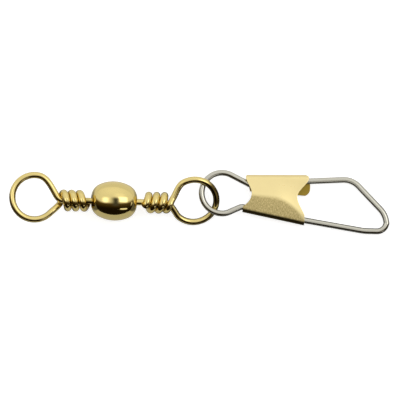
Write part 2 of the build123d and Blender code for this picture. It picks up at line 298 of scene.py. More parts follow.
def paint_shade_on_half(material, bright, dark, fold_shade_colour, roughness):
    """Mixes in a darker, mottled finish of two colours as painted shade, and a darker painted shade along the
    fold, where the sheet's own mask says so.
    """
    tree = material.node_tree
    shader = tree.nodes["Principled BSDF"].inputs
    clean, smooth = (shader[label].links[0].from_socket for label in ("Base Color", "Roughness"))
    mask = fed(tree, "ShaderNodeAttribute", "Fac", attribute_name="painted_shade")
    place = fed(tree, "ShaderNodeAttribute", "Vector", attribute_name="straight")
    place = vector_node(tree, "MULTIPLY", place, MOTTLE_STRETCH)
    mottle = noise_node(tree, place, MOTTLE_SCALE, detail=4.0, roughness=0.75)
    spots = ramp(tree, mottle, 0.30, 0.70, 0.0, 1.0, "LINEAR")
    ragged = math_node(tree, "MULTIPLY", math_node(tree, "SUBTRACT", spots, 0.5), FRAY)
    ragged = math_node(tree, "MULTIPLY", ragged, math_node(tree, "PINGPONG", mask, 0.5))
    share = clamped(tree, math_node(tree, "ADD", mask, ragged))
    shaded_mottle = mix_node(tree, share, clean, mix_node(tree, spots, dark, bright))
    fold_shade = ramp(tree, mask, 1.0, 2.0, 0.0, 1.0, "LINEAR")
    feed(tree, shader["Base Color"], mix_node(tree, fold_shade, shaded_mottle, fold_shade_colour))
    rougher = math_node(tree, "MULTIPLY", share, roughness)
    feed(tree, shader["Roughness"], math_node(tree, "ADD", smooth, rougher))


# painted shade: the darker half of the panel, and the near-black along the closed fold
paint_shade_on_half(sheet_brass, bright=(0.90, 0.74, 0.36), dark=(0.30, 0.22, 0.06),
              fold_shade_colour=(0.10, 0.07, 0.02), roughness=0.04)
print("the sheet's material has", len(sheet_brass.node_tree.nodes), "nodes")

# %% [markdown]
# ## Painted shade on the wire
# Two places of the brass wire are painted dark brown as shade: the tail of a wrap, and where the
# steel loop lies against the ring. A distance from a point of the model, in millimetres, is mask enough.

# %% Painted shade on the wire
def paint_shade_round(material, centre, inner, outer, colour):
    """Paints shade on a material round one place, fully out to one distance and not past another."""
    tree = material.node_tree
    base = tree.nodes["Principled BSDF"].inputs["Base Color"]
    place = fed(tree, "ShaderNodeTexCoord", "Object")
    distance = vector_node(tree, "DISTANCE", place, Vector(centre) * MM)
    share = ramp(tree, distance, inner * MM, outer * MM, 1.0, 0.0)
    feed(tree, base, mix_node(tree, share, base.links[0].from_socket, colour))


# painted shade, where the steel loop lies against the ring and at the tail of a coil
SHADE_BESIDE_LOOP, SHADE_AT_COIL_TAIL = (1.85, 0.95, 1.6), (-14.9, -1.15, 3.0)
paint_shade_round(wire_brass, SHADE_BESIDE_LOOP, inner=1.1, outer=2.2, colour=(0.13, 0.09, 0.025))
paint_shade_round(wire_brass, SHADE_AT_COIL_TAIL, inner=0.6, outer=1.2, colour=(0.30, 0.21, 0.04))
print("the wire's material has", len(wire_brass.node_tree.nodes), "nodes")

# %% [markdown]
# ## Wire as a route of stations
# A wire form is described well by stations: points that it passes, each with the direction it has
# there. Between two stations a Bezier span with the right handle length is as good as an arc. For
# a turn of angle t over a chord c that length is c / (3 cos(t/4)^2).

# %% A Bezier curve through stations
CURVE_STEPS = 48  # straight pieces in one Bezier span, before it is resampled
STATIONS_A_TURN = 8


def added(name, data):
    """A new object in the scene, made of a mesh, a curve or a camera."""
    obj = bpy.data.objects.new(name, data)
    bpy.context.scene.collection.objects.link(obj)
    return obj


def handle_reach(here, way, there, next_way):
    """How long a span's two handles are, for it to run like an arc."""
    return (there - here).length / (3 * cos(way.angle(next_way) / 4) ** 2)


def bezier_route(name, stations):
    """A Bezier curve object through (point, direction) stations, in millimetres."""
    curve = bpy.data.curves.new(name, "CURVE")
    curve.dimensions = "3D"
    curve.resolution_u = CURVE_STEPS
    spline = curve.splines.new("BEZIER")
    spline.bezier_points.add(len(stations) - 1)
    knots = spline.bezier_points
    for knot, (point, way) in zip(knots, stations):
        knot.handle_left_type = knot.handle_right_type = "FREE"
        knot.co = knot.handle_left = knot.handle_right = point
    for index, ((here, way), (there, next_way)) in enumerate(zip(stations, stations[1:])):
        reach = handle_reach(here, way, there, next_way)
        knots[index].handle_right = here + way * reach
        knots[index + 1].handle_left = there - next_way * reach
    return added(name, curve)


def flat(x, y, z=0.0):
    return Vector((x, y, z))


def heading(degrees_up):
    return Vector((cos(radians(degrees_up)), sin(radians(degrees_up)), 0))


def round_corners(points, radii):
    """Stations where each corner's arc starts and ends; the two end points are kept."""
    stations = [(points[0], (points[1] - points[0]).normalized())]
    for before, corner, after, radius in zip(points, points[1:], points[2:], radii):
        way_in = (corner - before).normalized()
        way_out = (after - corner).normalized()
        back = radius * tan(way_in.angle(way_out) / 2)
        stations.append((corner - way_in * back, way_in))
        stations.append((corner + way_out * back, way_out))
    stations.append((points[-1], (points[-1] - points[-2]).normalized()))
    return stations


def arc_stations(centre, radius, first, last):
    """Stations on an arc from one angle to another, either way round."""
    spans = round(abs(last - first) / 360 * STATIONS_A_TURN)
    side = 90 if last > first else -90
    angles = [first + (last - first) * step / spans for step in range(spans + 1)]
    return [(centre + heading(angle) * radius, heading(angle + side)) for angle in angles]


quarter = handle_reach(flat(0, 0), heading(0), flat(1, 1), heading(90))
print("a quarter turn of radius 1 needs a handle of", round(quarter, 4))

# %% [markdown]
# ## Geometry Nodes turn a route into wire
# The tree resamples the route at an even step, sets the wire's radius along it, and sweeps a
# circle. Some places have a radius of their own. At the head the wire was upset into a ball that
# holds it in the shell, at each cut end the nipped edge is a little rounded, and in a tight coil
# the soft wire swells as it is bent, so that its turns nearly touch. Before the sweep the tree
# stores the distance along the wire, and the place on the round section. Together they make the
# "straight" attribute that the grain follows.

# %% Geometry Nodes: round wire
def store(tree, geometry, name, kind, value):
    """Stores a named attribute on points; returns the geometry."""
    inputs = {"Geometry": geometry, "Name": name, "Value": value}
    return fed(tree, "GeometryNodeStoreNamedAttribute", "Geometry", inputs, data_type=kind,
               domain="POINT")


def stored(tree, name, kind):
    """Reads a named attribute."""
    return fed(tree, "GeometryNodeInputNamedAttribute", "Attribute", {"Name": name}, data_type=kind)


def wire_radius(tree, given):
    """The wire's radius at a point: ball head, plain wire or coil, or the rounded cut end."""
    def calc(operation, *values):
        return math_node(tree, operation, *values)

    along = fed(tree, "GeometryNodeSplineParameter", "Length")
    from_tail = calc("SUBTRACT", fed(tree, "GeometryNodeSplineLength", "Length"), along)
    to_end = calc("DIVIDE", calc("MINIMUM", along, from_tail), given["Cut Edge"])
    drop = calc("SUBTRACT", 1.0, calc("MINIMUM", to_end, 1.0))
    rounded = calc("SQRT", calc("SUBTRACT", 1.0, calc("POWER", drop, 2.0)))
    inner = calc("SUBTRACT", calc("MULTIPLY", given["Diameter"], 0.5), given["Cut Edge"])
    wire = calc("ADD", inner, calc("MULTIPLY", rounded, given["Cut Edge"]))
    in_coil = clamped(tree, calc("SUBTRACT", given["Coil Length"], from_tail))
    swell = calc("ADD", calc("MULTIPLY", in_coil, given["Swelling"]), 1.0)
    from_centre = calc("SUBTRACT", along, given["Head Radius"])
    ball = calc("SUBTRACT", calc("POWER", given["Head Radius"], 2.0), calc("POWER", from_centre, 2.0))
    ball = calc("SQRT", calc("MAXIMUM", ball, 0.0))
    in_head = calc("LESS_THAN", along, given["Head Length"])
    beyond = calc("MULTIPLY", calc("MULTIPLY", wire, swell), calc("SUBTRACT", 1.0, in_head))
    return calc("ADD", calc("MULTIPLY", ball, in_head), beyond)


def round_wire_tree():
    sizes = {"Diameter": 0.7, "Step": 0.06, "Sides": 28.0, "Cut Edge": 0.06, "Head Radius": 0.0,
             "Head Length": 0.0, "Coil Length": 0.0, "Swelling": 0.0}
    tree, given, result = new_tree(
        "GeometryNodeTree", "round wire",
        [("Geometry", "Geometry", None), *((label, "Float", value) for label, value in sizes.items()),
         ("Material", "Material", None)],
        [("Geometry", "Geometry")],
    )
    route = fed(tree, "GeometryNodeResampleCurve", "Curve",
                {"Curve": given["Geometry"], "Length": given["Step"]}, mode="LENGTH")
    along = fed(tree, "GeometryNodeSplineParameter", "Length")
    route = store(tree, route, "along", "FLOAT", along)
    route = fed(tree, "GeometryNodeSetCurveRadius", "Curve",
                {"Curve": route, "Radius": wire_radius(tree, given)})
    circle = fed(tree, "GeometryNodeCurvePrimitiveCircle", "Curve",
                 {"Resolution": given["Sides"], "Radius": 1.0})
    position = fed(tree, "GeometryNodeInputPosition", "Position")
    circle = store(tree, circle, "section", "FLOAT_VECTOR", position)
    radius = fed(tree, "GeometryNodeInputRadius", "Radius")
    wire = fed(tree, "GeometryNodeCurveToMesh", "Mesh",
               {"Curve": route, "Profile Curve": circle, "Scale": radius, "Fill Caps": True})
    down_wire = fed(tree, "ShaderNodeCombineXYZ", "Vector", {"Z": stored(tree, "along", "FLOAT")})
    straight = vector_node(tree, "ADD", stored(tree, "section", "FLOAT_VECTOR"), down_wire)
    wire = store(tree, wire, "straight", "FLOAT_VECTOR", straight)
    wire = fed(tree, "GeometryNodeRealizeInstances", "Geometry", {"Geometry": wire})
    wire = fed(tree, "GeometryNodeSetMaterial", "Geometry",
               {"Geometry": wire, "Material": given["Material"]})
    feed(tree, result["Geometry"], wire)
    return tree


round_wire = round_wire_tree()
print("tree:", round_wire.name, "with", len(round_wire.nodes), "nodes")

# %% [markdown]
# ## From live modifier to finished piece
# A modifier keeps a recipe, and a finished piece needs a plain mesh. These helpers give an object
# its tree and sizes, read off the evaluated mesh, lay it in place with its matrix, and throw the
# recipe away. Edges sharper than 35 degrees keep a crisp corner.

# %% Helpers: finish a piece
CRISP = radians(35)


def with_tree(obj, tree, material, **sizes):
    """Puts a geometry tree on an object; its inputs are set by their identifiers."""
    modifier = obj.modifiers.new(tree.name, "NODES")
    modifier.node_group = tree
    sockets = {item.name: item.identifier for item in tree.interface.items_tree
               if item.item_type == "SOCKET" and item.in_out == "INPUT"}
    modifier[sockets["Material"]] = material
    for label, value in sizes.items():
        modifier[sockets[label.replace("_", " ").title()]] = float(value)


def modified(obj, kind, **settings):
    """Adds a modifier with its settings."""
    modifier = obj.modifiers.new(kind, kind)
    for name, value in settings.items():
        setattr(modifier, name, value)


def evaluated_mesh(obj, lay):
    """A plain mesh of an object with its modifiers applied, laid in the model's frame."""
    bpy.context.view_layer.update()
    evaluated = obj.evaluated_get(bpy.context.evaluated_depsgraph_get())
    mesh = bpy.data.meshes.new_from_object(evaluated)
    mesh.transform(lay)
    return mesh


def finished(obj, name, lay, body):
    """The evaluated object as a plain mesh in the model's frame, riding on a body."""
    mesh = evaluated_mesh(obj, lay)
    mesh.name = name
    mesh.shade_smooth()
    mesh.set_sharp_from_angle(angle=CRISP)
    piece = added(name, mesh)
    bpy.data.objects.remove(obj)
    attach(piece, body)
    print(name, "has", len(mesh.polygons), "faces")
    return piece


print("corners over", round(CRISP * 180 / pi), "degrees stay crisp")

# %% [markdown]
# ## The wrapped eyes
# This is the form that takes the skill. One wire starts at its head inside the shell, runs out
# along the shank, turns up into the first leg of the ring, goes round, comes back down the second
# leg, climbs over the first and winds three turns back along the shank. It is drawn with the
# ring towards +X. The snap's eye is its mirror image in Y, and the line's eye is turned end for
# end about Y.

# %% Stations of an eye
BRASS_WIRE = 0.84
HEAD_RADIUS = 1.05
HEAD_CENTRE = 1.730  # along the shank from the shell's centre
HEAD_SEAT = 2.41  # the flat of the head, just inside the end wall
SHANK_BEND = 1.2
COIL_PITCH = 1.05
COIL_RADIUS = 0.945
COIL_SWELLING = 0.18  # how much fatter the wire is in the coil
WOUND_TURNS = 3  # the turns that swell, counted from the tail


def coil_station(turn, start_x, lean, flare):
    """A point of the coil and its direction, a number of turns back along the shank."""
    angle = pi / 2 - 2 * pi * turn
    past = max(0.0, turn - flare[0])
    advance = COIL_PITCH * turn + flare[1] * past ** 2 + lean * cos(angle)
    pace = COIL_PITCH + 2 * flare[1] * past + 2 * pi * lean * sin(angle)
    around = 2 * pi * COIL_RADIUS
    way = Vector((-pace, around * sin(angle), -around * cos(angle))).normalized()
    return flat(start_x - advance, COIL_RADIUS * cos(angle), COIL_RADIUS * sin(angle)), way


def eye_stations(ring_centre, ring_radius, core_leaves, leg_foot, leg_slope, wrap_leaves, wrap_foot,
                 wrap_slope, coil_x, turns, lean, flare):
    """From the head along the shank, up a leg, round the ring, down the other leg, into the coil."""
    leg_way = heading(leg_slope)
    foot = flat(*leg_foot)
    corner = flat(foot.x - foot.y / tan(radians(leg_slope)), 0)
    reach = SHANK_BEND * tan(radians(leg_slope) / 2)
    stations = [
        (flat(HEAD_CENTRE - HEAD_RADIUS, 0), heading(0)),
        (corner - heading(0) * reach, heading(0)),
        (corner + leg_way * reach, leg_way),
        (foot, leg_way),
    ]
    stations += arc_stations(flat(*ring_centre), ring_radius, 180 - core_leaves, wrap_leaves - 180)
    stations.append((flat(*wrap_foot), flat(*wrap_slope).normalized()))
    spans = round(turns * STATIONS_A_TURN)
    for step in range(spans + 1):
        stations.append(coil_station(turns * step / spans, coil_x, lean, flare))
    return stations


def turned(stations, signs):
    """The same wire, turned or mirrored by a sign on each axis."""
    flip = Matrix.Diagonal(signs)
    return [(flip @ point, flip @ way) for point, way in stations]


line_eye_stations = eye_stations(
    ring_centre=(10.50, 0.327), ring_radius=2.91, core_leaves=80, leg_foot=(7.86, 1.04), leg_slope=59,
    wrap_leaves=46, wrap_foot=(7.40, -0.80, 0.45), wrap_slope=(-0.70, 0.70, 0.30),
    coil_x=6.90, turns=2.95, lean=-0.04, flare=(2.6, 2.8))
snap_eye_stations = eye_stations(
    ring_centre=(10.56, -0.385), ring_radius=2.96, core_leaves=50, leg_foot=(8.14, 1.19), leg_slope=54,
    wrap_leaves=60, wrap_foot=(7.74, -0.86, 0.45), wrap_slope=(-0.50, 0.87, 0.30),
    coil_x=7.28, turns=3.05, lean=0.13, flare=(3.05, 0))
print("stations:", len(line_eye_stations), "and", len(snap_eye_stations))

# %% Make the eyes
EYE_SIZES = dict(diameter=BRASS_WIRE, step=0.06, sides=32, cut_edge=0.07,
                 head_radius=HEAD_RADIUS, head_length=HEAD_SEAT - HEAD_CENTRE + HEAD_RADIUS,
                 coil_length=WOUND_TURNS * 2 * pi * COIL_RADIUS, swelling=COIL_SWELLING)


def make_eye(name, stations, lay):
    """Bends, sweeps and finishes one eye."""
    route = bezier_route(name + "_route", stations)
    with_tree(route, round_wire, wire_brass, **EYE_SIZES)
    piece = finished(route, name + "_bright", lay, name)
    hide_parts(name)


make_eye("line_eye", turned(line_eye_stations, (-1, 1, -1)), lay_swivel)
make_eye("snap_eye", turned(snap_eye_stations, (1, -1, 1)), lay_snap_eye)

# %% [markdown]
# ## The snap's wire
# It is bent flat from one length of spring steel, so its route is corners with bend radii and one
# small round loop. The corners are the bender's pins. The wire is drawn about the centre of its
# small loop. Its matrix has the right tilt already, and its place follows from the model's own
# box for this node.

# %% Make the snap's wire
STEEL_WIRE = 0.77
SMALL_LOOP = 2.68
SHORT_LEG_FALL = 27.3
LONG_LEG_RISE = 20.6
HEEL = flat(2.55, -1.79)
SLEEVE_EXIT = flat(10.85, -3.57)


def snap_stations():
    """Short leg, small loop, long leg, nose and latch leg."""
    first, last = 90 - SHORT_LEG_FALL, LONG_LEG_RISE + 270
    top, low = heading(first) * SMALL_LOOP, heading(last) * SMALL_LOOP
    short_leg = round_corners([flat(6.24, 1.60), flat(4.26, 0.83), top], [1.2])
    loop = arc_stations(flat(0, 0), SMALL_LOOP, first, last)[1:-1]
    corners = [low, HEEL, SLEEVE_EXIT, flat(18.76, -4.96), flat(21.72, -5.02), flat(21.72, -2.94),
               flat(17.19, 1.84), flat(7.69, 1.42)]
    return short_leg + loop + round_corners(corners, [1.0, 20.0, 8.0, 1.25, 3.0, 2.7])


def shift_to(node, obj, lay):
    """The matrix lay, moved so that the evaluated object's box is centred on a node's box."""
    mesh = evaluated_mesh(obj, lay)
    low, high = (Vector(pick(v.co[i] for v in mesh.vertices) for i in range(3)) for pick in (min, max))
    cad_low, cad_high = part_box(node)
    bpy.data.meshes.remove(mesh)
    return Matrix.Translation((cad_low + cad_high - low - high) / 2) @ lay


route = bezier_route("snap_wire_route", snap_stations())
with_tree(route, round_wire, spring_steel, diameter=STEEL_WIRE, step=0.06, sides=32, cut_edge=0.06)
lay_snap = shift_to("snap_wire", route, lay_snap)
snap_wire = finished(route, "snap_wire_bright", lay_snap, "snap")
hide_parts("snap_wire")

# %% [markdown]
# ## The barrel
# A turned shell is half an outline spun about its axis, which is what the Screw modifier does. The
# outline is the wall's section: a flat crown, tighter shoulders, a flat lip at each end hole, and
# the same curves one wall deeper inside. The seam closes on itself, so doubles are merged.

# %% Make the barrel
BARREL_LENGTH, BARREL_RADIUS = 5.92, 2.59
WALL, END_WALL = 0.45, 0.50
CROWN_RADIUS, CROWN_HALF = 4.50, 1.95
MOUTH_RADIUS = 0.92
HOLE_RADIUS = BRASS_WIRE / 2 + 0.22
HOLE_EDGE = 0.03  # the small bevel round each hole
SHELL_OFFSET = 0.09  # the loose shell sits a little to one side of the shanks
SHELL_SKEW = radians(2.3)  # and a little askew


def arc_points(centre, radius, start, end, steps):
    """Points of a section's arc between two angles."""
    angles = [start + (end - start) * step / steps for step in range(steps + 1)]
    return [centre + Vector((cos(a), sin(a))) * radius for a in angles]


def half_section(inset, face, steps):
    """Crown and shoulder from the middle to an end face, inset from the outer skin."""
    crown_centre = Vector((0, BARREL_RADIUS - CROWN_RADIUS))
    crown_end = Vector((CROWN_HALF, crown_centre.y + sqrt(CROWN_RADIUS ** 2 - CROWN_HALF ** 2)))
    outward = (crown_end - crown_centre).normalized()
    chord = Vector((BARREL_LENGTH / 2, MOUTH_RADIUS)) - crown_end
    shoulder = chord.length_squared / (-2 * chord.dot(outward))
    shoulder_centre = crown_end - outward * shoulder
    radius, over = shoulder - inset, face - shoulder_centre.x
    meets, last = atan2(outward.y, outward.x), atan2(sqrt(radius ** 2 - over ** 2), over)
    crown = arc_points(crown_centre, CROWN_RADIUS - inset, pi / 2, meets, steps)
    return crown + arc_points(shoulder_centre, radius, meets, last, steps)[1:]


def barrel_section(steps=20):
    """The closed outline of the wall: out along the outer face, in at each hole, back inside."""
    face, seat = BARREL_LENGTH / 2, BARREL_LENGTH / 2 - END_WALL
    outer, inner = half_section(0, face, steps), half_section(WALL, seat, steps)
    end = [Vector((face, HOLE_RADIUS + HOLE_EDGE)), Vector((face - HOLE_EDGE, HOLE_RADIUS)),
           Vector((seat, HOLE_RADIUS))]
    right = outer + end + inner[::-1]
    left = [Vector((-point.x, point.y)) for point in right[1:-1]]
    return right + left[::-1]


section = barrel_section()
mesh = bpy.data.meshes.new("barrel_section")
mesh.from_pydata([(point.x, point.y, 0) for point in section],
                 [(i, (i + 1) % len(section)) for i in range(len(section))], [])
outline = added("barrel_section", mesh)
modified(outline, "SCREW", axis="X", steps=160, render_steps=160, use_merge_vertices=True,
         merge_threshold=1e-5)
askew = Matrix.Translation((0, SHELL_OFFSET, 0)) @ Matrix.Rotation(-SHELL_SKEW, 4, "Z")
barrel = finished(outline, "barrel_bright", lay_swivel @ askew, "barrel")
barrel.data.materials.append(shell_brass)
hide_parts("barrel")

# %% [markdown]
# ## The folded sleeve
# A blank of thin sheet is folded twice: closed round the long leg of the wire, and open over the
# latch leg. Its section is a path of straight and round stretches, and the blank's ends are cut
# hollow. So the mesh is a grid. Each row runs along the sleeve at one place on the section, and
# starts and stops where the cut outline says. Solidify gives the sheet its thickness, and its
# material offsets paint the three skins: outside, inside in painted shade, and cut rim with a
# painted highlight. The panel between the folds isn't a clean curve: pressing the crimp shut left a
# soft ridge across it, which parts a bright half from one painted darker as shade.

# %% Lines of the sleeve
SHEET = 0.25
HOOK_INSIDE, CRIMP_INSIDE = 0.44, 0.43
HOOK_LINE = 1.73
CRIMP_LIP = 0.75
HOOK_TOP = HOOK_LINE + HOOK_INSIDE + SHEET
HOOK_LEFT, HOOK_RIGHT = 3.24, 11.36
CRIMP_LEFT, CRIMP_RIGHT = 2.72, 10.84
FLAP_EDGE_LEFT, FLAP_EDGE_RIGHT = 0.29, -0.34
RIDGE_AT, RIDGE_DROP = 0.53, 0.33  # how far across the panel it lies, and then falls
RIDGE_LEVEL_TO, RIDGE_FALLEN = 6.6, 10.2  # where that fall starts, and has this size
RIDGE_LIMIT = 0.9  # and how far across it may get
RIDGE_LEFT, RIDGE_RIGHT = 0.27, 0.15  # how far it stands out at the two ends
RIDGE_SINKS = (7.0, 10.5)  # where it passes from the one to the other
RIDGE_BLUR = 0.07  # how softly, as a share of the panel
FLAP_ROWS, FOLD_ROWS, PANEL_ROWS, LIP_ROWS = 18, 24, 60, 6


def eased(value, low, high):
    """0 below low, 1 above high, and a smooth step between."""
    share = min(max((value - low) / (high - low), 0.0), 1.0)
    return share * share * (3 - 2 * share)


def crimp_line(x):
    """Height of the closed fold's axis, which follows the long leg."""
    return HEEL.y + (SLEEVE_EXIT.y - HEEL.y) * (x - HEEL.x) / (SLEEVE_EXIT.x - HEEL.x)


def flap_edge(x):
    """Height of the flap's lower edge."""
    share = (x - HOOK_LEFT) / (HOOK_RIGHT - HOOK_LEFT)
    return FLAP_EDGE_LEFT + (FLAP_EDGE_RIGHT - FLAP_EDGE_LEFT) * share


def ridge_share(x):
    """Where the soft ridge lies across the panel: 0 at the hook, 1 at the crimp."""
    fallen = max(x - RIDGE_LEVEL_TO, 0.0) / (RIDGE_FALLEN - RIDGE_LEVEL_TO)
    return RIDGE_AT + RIDGE_DROP * fallen ** 2


def ridge_height(x):
    """How far the ridge stands out from the chord between the folds."""
    return RIDGE_LEFT + (RIDGE_RIGHT - RIDGE_LEFT) * eased(x, *RIDGE_SINKS)


print("panel height:", [round(HOOK_LINE - crimp_line(x), 2) for x in (CRIMP_LEFT, CRIMP_RIGHT)])

# %% Section of the sleeve
def soft_roof(share, peak, blur=RIDGE_BLUR):
    """A roof over 0 to 1 with its ridge at peak, rounded there; 1 high before the rounding."""
    if share < peak - blur:
        return share / peak
    if share > peak + blur:
        return (1 - share) / (1 - peak)
    t = (share - peak + blur) / (2 * blur)
    low, high = (peak - blur) / peak, (1 - peak - blur) / (1 - peak)
    return low * (1 - t) ** 2 + 2 * t * (1 - t) + high * t * t


def section_at(x):
    """(height, depth) points of the sheet's inner face at x: flap, hook, panel, crimp, lip."""
    hook, crimp = Vector((HOOK_LINE, 0)), Vector((crimp_line(x), 0))
    span = hook.x - crimp.x
    peak, height = min(ridge_share(x), RIDGE_LIMIT), ridge_height(x)
    hook_turn = pi / 2 - atan2(height, span * peak)
    crimp_turn = pi / 2 + atan2(height, span * (1 - peak))
    flap_low = Vector((flap_edge(x), -HOOK_INSIDE))
    flap_top = hook + Vector((0, -HOOK_INSIDE))
    flap = [flap_low.lerp(flap_top, 1 - cos(pi / 2 * step / FLAP_ROWS)) for step in range(FLAP_ROWS)]
    fold = arc_points(hook, HOOK_INSIDE, -pi / 2, hook_turn, FOLD_ROWS)
    close = arc_points(crimp, CRIMP_INSIDE, crimp_turn, 3 * pi / 2, FOLD_ROWS)
    across = (close[0] - fold[-1]).normalized()
    out = Vector((across.y, -across.x)) * height
    shares = [step / PANEL_ROWS for step in range(1, PANEL_ROWS)]
    crown = [fold[-1].lerp(close[0], share) + out * soft_roof(share, peak) for share in shares]
    lip_end = Vector((crimp.x + CRIMP_LIP, -CRIMP_INSIDE))
    lip = [close[-1].lerp(lip_end, step / LIP_ROWS) for step in range(1, LIP_ROWS + 1)]
    return flap + fold + crown + close + lip


rows = len(section_at(5.0))
print("rows across the sheet:", rows)

# %% Cut ends of the blank
def cut_edge(stations, steps=60):
    """A cut line through stations, as a function that gives x at a height y."""
    points = []
    for (here, way), (there, next_way) in zip(stations, stations[1:]):
        reach = handle_reach(here, way, there, next_way)
        a, b = here + way * reach, there - next_way * reach
        for step in range(steps + 1):
            t = step / steps
            points.append(here * (1 - t) ** 3 + a * 3 * t * (1 - t) ** 2
                          + b * 3 * t * t * (1 - t) + there * t ** 3)

    def x_at(y):
        if y >= points[0].y:
            return points[0].x
        for upper, lower in zip(points, points[1:]):
            if upper.y >= y >= lower.y and upper.y > lower.y:
                return upper.x + (lower.x - upper.x) * (upper.y - y) / (upper.y - lower.y)
        return points[-1].x
    return x_at


def station(x, y, way_x, way_y):
    """A point in the snap's plane and a direction there."""
    return flat(x, y), flat(way_x, way_y).normalized()


front_left = cut_edge([station(3.36, HOOK_TOP, -1, -0.3), station(3.12, 2.10, 0.1, -1),
                       station(3.87, -0.05, -0.02, -1),
                       station(CRIMP_LEFT, crimp_line(CRIMP_LEFT) + 0.1, -1, -0.55)])
front_right = cut_edge([station(10.92, HOOK_TOP, 1, -0.05), station(11.44, 1.98, -0.12, -1),
                        station(9.88, -0.60, 0.06, -1),
                        station(CRIMP_RIGHT, crimp_line(CRIMP_RIGHT) + 0.6, 0.35, -1)])
back_left = cut_edge(round_corners(
    [flat(3.42, HOOK_TOP), flat(3.30, 2.0), flat(3.76, 0.2), flat(3.90, -0.9), flat(2.98, -1.9),
     flat(2.98, -5)], [0.2, 0.4, 0.3, 0.2]))
back_right = cut_edge(round_corners(
    [flat(11.12, HOOK_TOP), flat(11.42, 2.0), flat(11.70, 1.0), flat(11.56, -0.36), flat(10.2, -0.38),
     flat(CRIMP_RIGHT, -0.9), flat(CRIMP_RIGHT, -6)], [0.3, 1.2, 0.95, 0.02, 0.1]))
print("waist between", round(front_left(0), 2), "and", round(front_right(-0.6), 2))

# %% Points of the folded blank
COLUMNS = 72
SETTLING = 6  # rounds that find where a row meets the cut outline
FOLD_STARTS, FOLD_ENDS = 10, 180  # degrees round the closed fold, from the front
FOLD_SHADE_COMES, FOLD_SHADE_GOES = (4, 44), (66, 76)  # and where painted shade darkens it


def outer_height(y):
    """Height of the sheet's outer face at a row of the inner one, round the hook."""
    return y + max(y - HOOK_LINE, 0.0) * SHEET / HOOK_INSIDE


def row_ends(row):
    """Where a row starts and stops: on the cut outline of the front or of the back."""
    ends = []
    for front, back, x in ((front_left, back_left, HOOK_LEFT), (front_right, back_right, HOOK_RIGHT)):
        for _ in range(SETTLING):
            point = section_at(x)[row]
            x = front(outer_height(point.x)) if point.y > 0 else back(outer_height(point.x))
        ends.append(x)
    return ends


def sleeve_points():
    """The blank's points, folded: each with its flat place, and its painted shade there."""
    vertices, flats, painted_shade = [], [], []
    unrolled = 0.0
    before = None
    panel_start = FLAP_ROWS + FOLD_ROWS
    fold_start = panel_start + PANEL_ROWS
    for row in range(rows):
        left, right = row_ends(row)
        middle = section_at((left + right) / 2)[row]
        if before is not None:
            unrolled += (middle - before).length
        before = middle
        share = (row - panel_start) / PANEL_ROWS
        round_fold = FOLD_STARTS + (FOLD_ENDS - FOLD_STARTS) * (row - fold_start) / FOLD_ROWS
        fold_shade = eased(round_fold, *FOLD_SHADE_COMES) * (1 - eased(round_fold, *FOLD_SHADE_GOES))
        for column in range(COLUMNS + 1):
            x = left + (right - left) * column / COLUMNS
            point = section_at(x)[row]
            peak = ridge_share(x)
            vertices.append((x, point.x, point.y))
            flats += (x, unrolled, 0)
            painted_shade.append(eased(share, peak - RIDGE_BLUR, peak + RIDGE_BLUR) + fold_shade)
    return vertices, flats, painted_shade


blank = sleeve_points()
print("points in the blank:", len(blank[0]))

# %% Make the sleeve
EASED_EDGE = 0.05


def sleeve_sheet(vertices, flats, painted_shade):
    """A grid of the folded blank, with its attributes and its materials."""
    wide = COLUMNS + 1
    faces = [(row * wide + c, (row + 1) * wide + c, (row + 1) * wide + c + 1, row * wide + c + 1)
             for row in range(rows - 1) for c in range(COLUMNS)]
    mesh = bpy.data.meshes.new("sleeve_sheet")
    mesh.from_pydata(vertices, [], faces)
    mesh.attributes.new("straight", "FLOAT_VECTOR", "POINT").data.foreach_set("vector", flats)
    mesh.attributes.new("painted_shade", "FLOAT", "POINT").data.foreach_set("value", painted_shade)
    # the inside skin and the whole flap carry painted shade, and the cut rim is partly a painted highlight
    panel_skins = [sheet_brass, shaded_inside, cut_brass_and_highlight]  # outside, inside and cut rim
    flap_skins = [shaded_inside] * 3
    for material in panel_skins + flap_skins:
        mesh.materials.append(material)
    for face in mesh.polygons[:FLAP_ROWS * COLUMNS]:
        face.material_index = len(panel_skins)
    return added("sleeve_sheet", mesh)


sheet = sleeve_sheet(*blank)
modified(sheet, "SOLIDIFY", thickness=SHEET, offset=1.0, use_even_offset=True, material_offset=1,
         material_offset_rim=2)
modified(sheet, "BEVEL", width=EASED_EDGE, segments=2, limit_method="ANGLE", angle_limit=radians(50))
snap_sleeve = finished(sheet, "snap_sleeve_rolled", lay_snap, "snap")
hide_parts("snap_sleeve")

# %% [markdown]
# ## Light for bright metal
# Polished metal has no look of its own: it shows the room. A small bright part is shot under a
# large white cloth on one side, with the other side left dark, so that every round wire carries
# a light side, a dark line and a light line again from the table. Lamps behind the cloth show as
# soft bright patches. The world here is that room, drawn as a cloth with soft edges and a few
# soft-edged panels.

# %% Helpers for the room
def room_direction(right, back):
    """The direction that lies so many degrees from overhead, to the right and to the back."""
    angle = sqrt(right ** 2 + back ** 2)
    reach = sin(radians(angle)) / angle
    return Vector((right * reach, back * reach, cos(radians(angle))))


def panel(tree, place, right, back, half_width, half_depth, blur, strength):
    """A soft-edged rectangle of the room; the sizes and the blur are in degrees."""
    centre = room_direction(right, back)
    side = (room_direction(right + 1, back) - room_direction(right - 1, back)).normalized()
    level = ramp(tree, vector_node(tree, "DOT_PRODUCT", place, centre), 0.0, 0.05, 0.0, strength)
    for way, half in ((side, half_width), (centre.cross(side), half_depth)):
        off = math_node(tree, "ABSOLUTE", vector_node(tree, "DOT_PRODUCT", place, way))
        inner, outer = sin(radians(max(half - blur, 0))), sin(radians(half + blur))
        level = math_node(tree, "MULTIPLY", level, ramp(tree, off, inner, outer, 1.0, 0.0))
    return level


print("a panel at 30, 40 lies towards", [round(v, 2) for v in room_direction(30, 40)])

